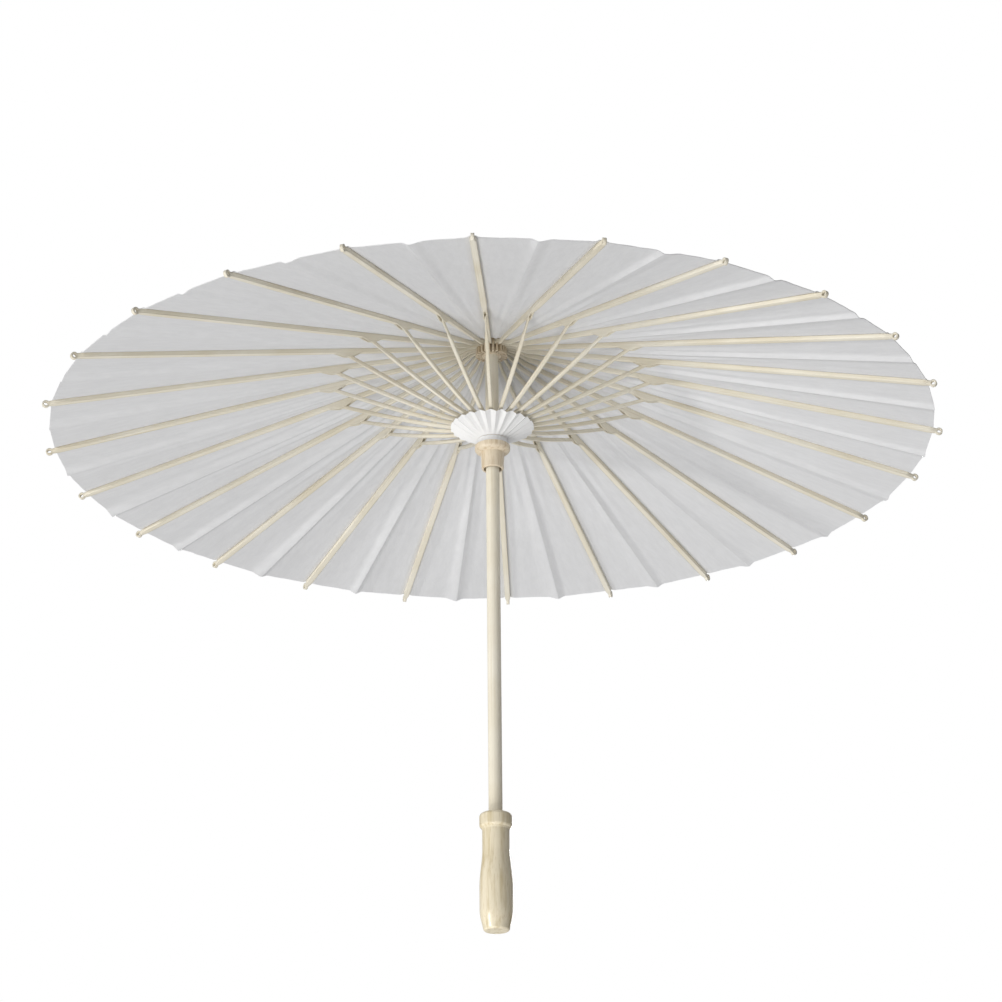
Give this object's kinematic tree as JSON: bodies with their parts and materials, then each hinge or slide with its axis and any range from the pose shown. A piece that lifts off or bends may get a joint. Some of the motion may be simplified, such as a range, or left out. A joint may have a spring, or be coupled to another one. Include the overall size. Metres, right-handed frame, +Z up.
{
  "type": "paper parasol",
  "caption": "Open oil paper parasol: pleated white paper canopy on split bamboo ribs and stretchers, sliding runner, bamboo shaft and turned wooden handle.",
  "frame": {"origin": "middle of the handle's straight grip, on the axis of the shaft", "axes": "+Z up the shaft towards the hub, -Y towards rib_01, +Y towards the spring catch"},
  "size_m": [0.8408, 0.8408, 0.6031],
  "materials": {
    "bamboo_shaft": "smooth, lightly polished bamboo",
    "bamboo_rib": "split bamboo, cream",
    "handle_wood": "turned wood, satin clear coat",
    "hub_wood": "turned wood, matt",
    "thread": "twisted cotton",
    "paper": "oiled white paper, satin, finely creased",
    "collar_paper": "pleated white paper, matt",
    "steel": "spring wire, dull"
  },
  "bodies": {
    "root": {"shaft": "bamboo_shaft", "handle": "handle_wood", "top_hub": "hub_wood", "hub_thread": "thread", "finial": "hub_wood", "canopy": "paper", "canopy_cap": "paper"},
    "runner": {"runner": "hub_wood", "runner_thread": "thread", "stretcher_collar": "collar_paper"},
    "catch": {"catch_spring": "steel"},
    "rib_01": {"rib_01": "bamboo_rib"},
    "rib_02": {"rib_02": "bamboo_rib"},
    "rib_03": {"rib_03": "bamboo_rib"},
    "rib_04": {"rib_04": "bamboo_rib"},
    "rib_05": {"rib_05": "bamboo_rib"},
    "rib_06": {"rib_06": "bamboo_rib"},
    "rib_07": {"rib_07": "bamboo_rib"},
    "rib_08": {"rib_08": "bamboo_rib"},
    "rib_09": {"rib_09": "bamboo_rib"},
    "rib_10": {"rib_10": "bamboo_rib"},
    "rib_11": {"rib_11": "bamboo_rib"},
    "rib_12": {"rib_12": "bamboo_rib"},
    "rib_13": {"rib_13": "bamboo_rib"},
    "rib_14": {"rib_14": "bamboo_rib"},
    "rib_15": {"rib_15": "bamboo_rib"},
    "rib_16": {"rib_16": "bamboo_rib"},
    "rib_17": {"rib_17": "bamboo_rib"},
    "rib_18": {"rib_18": "bamboo_rib"},
    "rib_19": {"rib_19": "bamboo_rib"},
    "rib_20": {"rib_20": "bamboo_rib"},
    "rib_21": {"rib_21": "bamboo_rib"},
    "rib_22": {"rib_22": "bamboo_rib"},
    "rib_23": {"rib_23": "bamboo_rib"},
    "rib_24": {"rib_24": "bamboo_rib"},
    "stretcher_01": {"stretcher_01": "bamboo_rib"},
    "stretcher_02": {"stretcher_02": "bamboo_rib"},
    "stretcher_03": {"stretcher_03": "bamboo_rib"},
    "stretcher_04": {"stretcher_04": "bamboo_rib"},
    "stretcher_05": {"stretcher_05": "bamboo_rib"},
    "stretcher_06": {"stretcher_06": "bamboo_rib"},
    "stretcher_07": {"stretcher_07": "bamboo_rib"},
    "stretcher_08": {"stretcher_08": "bamboo_rib"},
    "stretcher_09": {"stretcher_09": "bamboo_rib"},
    "stretcher_10": {"stretcher_10": "bamboo_rib"},
    "stretcher_11": {"stretcher_11": "bamboo_rib"},
    "stretcher_12": {"stretcher_12": "bamboo_rib"},
    "stretcher_13": {"stretcher_13": "bamboo_rib"},
    "stretcher_14": {"stretcher_14": "bamboo_rib"},
    "stretcher_15": {"stretcher_15": "bamboo_rib"},
    "stretcher_16": {"stretcher_16": "bamboo_rib"},
    "stretcher_17": {"stretcher_17": "bamboo_rib"},
    "stretcher_18": {"stretcher_18": "bamboo_rib"},
    "stretcher_19": {"stretcher_19": "bamboo_rib"},
    "stretcher_20": {"stretcher_20": "bamboo_rib"},
    "stretcher_21": {"stretcher_21": "bamboo_rib"},
    "stretcher_22": {"stretcher_22": "bamboo_rib"},
    "stretcher_23": {"stretcher_23": "bamboo_rib"},
    "stretcher_24": {"stretcher_24": "bamboo_rib"}
  },
  "joints": [
    {"name": "canopy_fold", "type": "hinge", "parent": "root", "child": "rib_01", "pos_m": [0, -0.012, 0.5395], "axis": [1, 0, 0], "range_deg": [0, 70.73], "deforming": ["canopy", "stretcher_collar", "catch_spring"]},
    {"name": "rib_02_fold", "type": "hinge", "parent": "root", "child": "rib_02", "pos_m": [0.00311, -0.01159, 0.5395], "axis": [0.9659, 0.2588, 0], "range_deg": [0, 70.73]},
    {"name": "rib_03_fold", "type": "hinge", "parent": "root", "child": "rib_03", "pos_m": [0.006, -0.01039, 0.5395], "axis": [0.866, 0.5, 0], "range_deg": [0, 70.73]},
    {"name": "rib_04_fold", "type": "hinge", "parent": "root", "child": "rib_04", "pos_m": [0.00848, -0.00848, 0.5395], "axis": [0.7071, 0.7071, 0], "range_deg": [0, 70.73]},
    {"name": "rib_05_fold", "type": "hinge", "parent": "root", "child": "rib_05", "pos_m": [0.01039, -0.006, 0.5395], "axis": [0.5, 0.866, 0], "range_deg": [0, 70.73]},
    {"name": "rib_06_fold", "type": "hinge", "parent": "root", "child": "rib_06", "pos_m": [0.01159, -0.00311, 0.5395], "axis": [0.2588, 0.9659, 0], "range_deg": [0, 70.73]},
    {"name": "rib_07_fold", "type": "hinge", "parent": "root", "child": "rib_07", "pos_m": [0.012, 0, 0.5395], "axis": [0, 1, 0], "range_deg": [0, 70.73]},
    {"name": "rib_08_fold", "type": "hinge", "parent": "root", "child": "rib_08", "pos_m": [0.01159, 0.00311, 0.5395], "axis": [-0.2588, 0.9659, 0], "range_deg": [0, 70.73]},
    {"name": "rib_09_fold", "type": "hinge", "parent": "root", "child": "rib_09", "pos_m": [0.01039, 0.006, 0.5395], "axis": [-0.5, 0.866, 0], "range_deg": [0, 70.73]},
    {"name": "rib_10_fold", "type": "hinge", "parent": "root", "child": "rib_10", "pos_m": [0.00848, 0.00848, 0.5395], "axis": [-0.7071, 0.7071, 0], "range_deg": [0, 70.73]},
    {"name": "rib_11_fold", "type": "hinge", "parent": "root", "child": "rib_11", "pos_m": [0.006, 0.01039, 0.5395], "axis": [-0.866, 0.5, 0], "range_deg": [0, 70.73]},
    {"name": "rib_12_fold", "type": "hinge", "parent": "root", "child": "rib_12", "pos_m": [0.00311, 0.01159, 0.5395], "axis": [-0.9659, 0.2588, 0], "range_deg": [0, 70.73]},
    {"name": "rib_13_fold", "type": "hinge", "parent": "root", "child": "rib_13", "pos_m": [0, 0.012, 0.5395], "axis": [-1, 0, 0], "range_deg": [0, 70.73]},
    {"name": "rib_14_fold", "type": "hinge", "parent": "root", "child": "rib_14", "pos_m": [-0.00311, 0.01159, 0.5395], "axis": [-0.9659, -0.2588, 0], "range_deg": [0, 70.73]},
    {"name": "rib_15_fold", "type": "hinge", "parent": "root", "child": "rib_15", "pos_m": [-0.006, 0.01039, 0.5395], "axis": [-0.866, -0.5, 0], "range_deg": [0, 70.73]},
    {"name": "rib_16_fold", "type": "hinge", "parent": "root", "child": "rib_16", "pos_m": [-0.00848, 0.00848, 0.5395], "axis": [-0.7071, -0.7071, 0], "range_deg": [0, 70.73]},
    {"name": "rib_17_fold", "type": "hinge", "parent": "root", "child": "rib_17", "pos_m": [-0.01039, 0.006, 0.5395], "axis": [-0.5, -0.866, 0], "range_deg": [0, 70.73]},
    {"name": "rib_18_fold", "type": "hinge", "parent": "root", "child": "rib_18", "pos_m": [-0.01159, 0.00311, 0.5395], "axis": [-0.2588, -0.9659, 0], "range_deg": [0, 70.73]},
    {"name": "rib_19_fold", "type": "hinge", "parent": "root", "child": "rib_19", "pos_m": [-0.012, 0, 0.5395], "axis": [0, -1, 0], "range_deg": [0, 70.73]},
    {"name": "rib_20_fold", "type": "hinge", "parent": "root", "child": "rib_20", "pos_m": [-0.01159, -0.00311, 0.5395], "axis": [0.2588, -0.9659, 0], "range_deg": [0, 70.73]},
    {"name": "rib_21_fold", "type": "hinge", "parent": "root", "child": "rib_21", "pos_m": [-0.01039, -0.006, 0.5395], "axis": [0.5, -0.866, 0], "range_deg": [0, 70.73]},
    {"name": "rib_22_fold", "type": "hinge", "parent": "root", "child": "rib_22", "pos_m": [-0.00848, -0.00848, 0.5395], "axis": [0.7071, -0.7071, 0], "range_deg": [0, 70.73]},
    {"name": "rib_23_fold", "type": "hinge", "parent": "root", "child": "rib_23", "pos_m": [-0.006, -0.01039, 0.5395], "axis": [0.866, -0.5, 0], "range_deg": [0, 70.73]},
    {"name": "rib_24_fold", "type": "hinge", "parent": "root", "child": "rib_24", "pos_m": [-0.00311, -0.01159, 0.5395], "axis": [0.9659, -0.2588, 0], "range_deg": [0, 70.73]},
    {"name": "stretcher_01_swing", "type": "hinge", "parent": "rib_01", "child": "stretcher_01", "pos_m": [0, -0.15004, 0.49922], "axis": [1, 0, 0], "range_deg": [-141.48, 0.02]},
    {"name": "stretcher_02_swing", "type": "hinge", "parent": "rib_02", "child": "stretcher_02", "pos_m": [0.03883, -0.14493, 0.49922], "axis": [0.9659, 0.2588, 0], "range_deg": [-141.48, 0.02]},
    {"name": "stretcher_03_swing", "type": "hinge", "parent": "rib_03", "child": "stretcher_03", "pos_m": [0.07502, -0.12994, 0.49922], "axis": [0.866, 0.5, 0], "range_deg": [-141.48, 0.02]},
    {"name": "stretcher_04_swing", "type": "hinge", "parent": "rib_04", "child": "stretcher_04", "pos_m": [0.1061, -0.1061, 0.49922], "axis": [0.7071, 0.7071, 0], "range_deg": [-141.48, 0.02]},
    {"name": "stretcher_05_swing", "type": "hinge", "parent": "rib_05", "child": "stretcher_05", "pos_m": [0.12994, -0.07502, 0.49922], "axis": [0.5, 0.866, 0], "range_deg": [-141.48, 0.02]},
    {"name": "stretcher_06_swing", "type": "hinge", "parent": "rib_06", "child": "stretcher_06", "pos_m": [0.14493, -0.03883, 0.49922], "axis": [0.2588, 0.9659, 0], "range_deg": [-141.48, 0.02]},
    {"name": "stretcher_07_swing", "type": "hinge", "parent": "rib_07", "child": "stretcher_07", "pos_m": [0.15004, 0, 0.49922], "axis": [0, 1, 0], "range_deg": [-141.48, 0.02]},
    {"name": "stretcher_08_swing", "type": "hinge", "parent": "rib_08", "child": "stretcher_08", "pos_m": [0.14493, 0.03883, 0.49922], "axis": [-0.2588, 0.9659, 0], "range_deg": [-141.48, 0.02]},
    {"name": "stretcher_09_swing", "type": "hinge", "parent": "rib_09", "child": "stretcher_09", "pos_m": [0.12994, 0.07502, 0.49922], "axis": [-0.5, 0.866, 0], "range_deg": [-141.48, 0.02]},
    {"name": "stretcher_10_swing", "type": "hinge", "parent": "rib_10", "child": "stretcher_10", "pos_m": [0.1061, 0.1061, 0.49922], "axis": [-0.7071, 0.7071, 0], "range_deg": [-141.48, 0.02]},
    {"name": "stretcher_11_swing", "type": "hinge", "parent": "rib_11", "child": "stretcher_11", "pos_m": [0.07502, 0.12994, 0.49922], "axis": [-0.866, 0.5, 0], "range_deg": [-141.48, 0.02]},
    {"name": "stretcher_12_swing", "type": "hinge", "parent": "rib_12", "child": "stretcher_12", "pos_m": [0.03883, 0.14493, 0.49922], "axis": [-0.9659, 0.2588, 0], "range_deg": [-141.48, 0.02]},
    {"name": "stretcher_13_swing", "type": "hinge", "parent": "rib_13", "child": "stretcher_13", "pos_m": [0, 0.15004, 0.49922], "axis": [-1, 0, 0], "range_deg": [-141.48, 0.02]},
    {"name": "stretcher_14_swing", "type": "hinge", "parent": "rib_14", "child": "stretcher_14", "pos_m": [-0.03883, 0.14493, 0.49922], "axis": [-0.9659, -0.2588, 0], "range_deg": [-141.48, 0.02]},
    {"name": "stretcher_15_swing", "type": "hinge", "parent": "rib_15", "child": "stretcher_15", "pos_m": [-0.07502, 0.12994, 0.49922], "axis": [-0.866, -0.5, 0], "range_deg": [-141.48, 0.02]},
    {"name": "stretcher_16_swing", "type": "hinge", "parent": "rib_16", "child": "stretcher_16", "pos_m": [-0.1061, 0.1061, 0.49922], "axis": [-0.7071, -0.7071, 0], "range_deg": [-141.48, 0.02]},
    {"name": "stretcher_17_swing", "type": "hinge", "parent": "rib_17", "child": "stretcher_17", "pos_m": [-0.12994, 0.07502, 0.49922], "axis": [-0.5, -0.866, 0], "range_deg": [-141.48, 0.02]},
    {"name": "stretcher_18_swing", "type": "hinge", "parent": "rib_18", "child": "stretcher_18", "pos_m": [-0.14493, 0.03883, 0.49922], "axis": [-0.2588, -0.9659, 0], "range_deg": [-141.48, 0.02]},
    {"name": "stretcher_19_swing", "type": "hinge", "parent": "rib_19", "child": "stretcher_19", "pos_m": [-0.15004, 0, 0.49922], "axis": [0, -1, 0], "range_deg": [-141.48, 0.02]},
    {"name": "stretcher_20_swing", "type": "hinge", "parent": "rib_20", "child": "stretcher_20", "pos_m": [-0.14493, -0.03883, 0.49922], "axis": [0.2588, -0.9659, 0], "range_deg": [-141.48, 0.02]},
    {"name": "stretcher_21_swing", "type": "hinge", "parent": "rib_21", "child": "stretcher_21", "pos_m": [-0.12994, -0.07502, 0.49922], "axis": [0.5, -0.866, 0], "range_deg": [-141.48, 0.02]},
    {"name": "stretcher_22_swing", "type": "hinge", "parent": "rib_22", "child": "stretcher_22", "pos_m": [-0.1061, -0.1061, 0.49922], "axis": [0.7071, -0.7071, 0], "range_deg": [-141.48, 0.02]},
    {"name": "stretcher_23_swing", "type": "hinge", "parent": "rib_23", "child": "stretcher_23", "pos_m": [-0.07502, -0.12994, 0.49922], "axis": [0.866, -0.5, 0], "range_deg": [-141.48, 0.02]},
    {"name": "stretcher_24_swing", "type": "hinge", "parent": "rib_24", "child": "stretcher_24", "pos_m": [-0.03883, -0.14493, 0.49922], "axis": [0.9659, -0.2588, 0], "range_deg": [-141.48, 0.02]},
    {"name": "runner_level", "type": "hinge", "parent": "stretcher_01", "child": "runner", "pos_m": [0, -0.012, 0.45893], "axis": [1, 0, 0], "range_deg": [-0.02, 70.75]},
    {"name": "catch_press", "type": "hinge", "parent": "root", "child": "catch", "pos_m": [0, 0.0015, 0.38103], "axis": [1, 0, 0], "range_deg": [0, 6.5], "stiffness_Nm_per_rad": 1}
  ],
  "couplings": [
    {"joint": "rib_02_fold", "follows": "canopy_fold", "ratio": 1},
    {"joint": "rib_03_fold", "follows": "canopy_fold", "ratio": 1},
    {"joint": "rib_04_fold", "follows": "canopy_fold", "ratio": 1},
    {"joint": "rib_05_fold", "follows": "canopy_fold", "ratio": 1},
    {"joint": "rib_06_fold", "follows": "canopy_fold", "ratio": 1},
    {"joint": "rib_07_fold", "follows": "canopy_fold", "ratio": 1},
    {"joint": "rib_08_fold", "follows": "canopy_fold", "ratio": 1},
    {"joint": "rib_09_fold", "follows": "canopy_fold", "ratio": 1},
    {"joint": "rib_10_fold", "follows": "canopy_fold", "ratio": 1},
    {"joint": "rib_11_fold", "follows": "canopy_fold", "ratio": 1},
    {"joint": "rib_12_fold", "follows": "canopy_fold", "ratio": 1},
    {"joint": "rib_13_fold", "follows": "canopy_fold", "ratio": 1},
    {"joint": "rib_14_fold", "follows": "canopy_fold", "ratio": 1},
    {"joint": "rib_15_fold", "follows": "canopy_fold", "ratio": 1},
    {"joint": "rib_16_fold", "follows": "canopy_fold", "ratio": 1},
    {"joint": "rib_17_fold", "follows": "canopy_fold", "ratio": 1},
    {"joint": "rib_18_fold", "follows": "canopy_fold", "ratio": 1},
    {"joint": "rib_19_fold", "follows": "canopy_fold", "ratio": 1},
    {"joint": "rib_20_fold", "follows": "canopy_fold", "ratio": 1},
    {"joint": "rib_21_fold", "follows": "canopy_fold", "ratio": 1},
    {"joint": "rib_22_fold", "follows": "canopy_fold", "ratio": 1},
    {"joint": "rib_23_fold", "follows": "canopy_fold", "ratio": 1},
    {"joint": "rib_24_fold", "follows": "canopy_fold", "ratio": 1},
    {"joint": "stretcher_01_swing", "follows": "canopy_fold", "ratio": -2},
    {"joint": "stretcher_02_swing", "follows": "canopy_fold", "ratio": -2},
    {"joint": "stretcher_03_swing", "follows": "canopy_fold", "ratio": -2},
    {"joint": "stretcher_04_swing", "follows": "canopy_fold", "ratio": -2},
    {"joint": "stretcher_05_swing", "follows": "canopy_fold", "ratio": -2},
    {"joint": "stretcher_06_swing", "follows": "canopy_fold", "ratio": -2},
    {"joint": "stretcher_07_swing", "follows": "canopy_fold", "ratio": -2},
    {"joint": "stretcher_08_swing", "follows": "canopy_fold", "ratio": -2},
    {"joint": "stretcher_09_swing", "follows": "canopy_fold", "ratio": -2},
    {"joint": "stretcher_10_swing", "follows": "canopy_fold", "ratio": -2},
    {"joint": "stretcher_11_swing", "follows": "canopy_fold", "ratio": -2},
    {"joint": "stretcher_12_swing", "follows": "canopy_fold", "ratio": -2},
    {"joint": "stretcher_13_swing", "follows": "canopy_fold", "ratio": -2},
    {"joint": "stretcher_14_swing", "follows": "canopy_fold", "ratio": -2},
    {"joint": "stretcher_15_swing", "follows": "canopy_fold", "ratio": -2},
    {"joint": "stretcher_16_swing", "follows": "canopy_fold", "ratio": -2},
    {"joint": "stretcher_17_swing", "follows": "canopy_fold", "ratio": -2},
    {"joint": "stretcher_18_swing", "follows": "canopy_fold", "ratio": -2},
    {"joint": "stretcher_19_swing", "follows": "canopy_fold", "ratio": -2},
    {"joint": "stretcher_20_swing", "follows": "canopy_fold", "ratio": -2},
    {"joint": "stretcher_21_swing", "follows": "canopy_fold", "ratio": -2},
    {"joint": "stretcher_22_swing", "follows": "canopy_fold", "ratio": -2},
    {"joint": "stretcher_23_swing", "follows": "canopy_fold", "ratio": -2},
    {"joint": "stretcher_24_swing", "follows": "canopy_fold", "ratio": -2},
    {"joint": "runner_level", "follows": "canopy_fold", "ratio": 1}
  ]
}
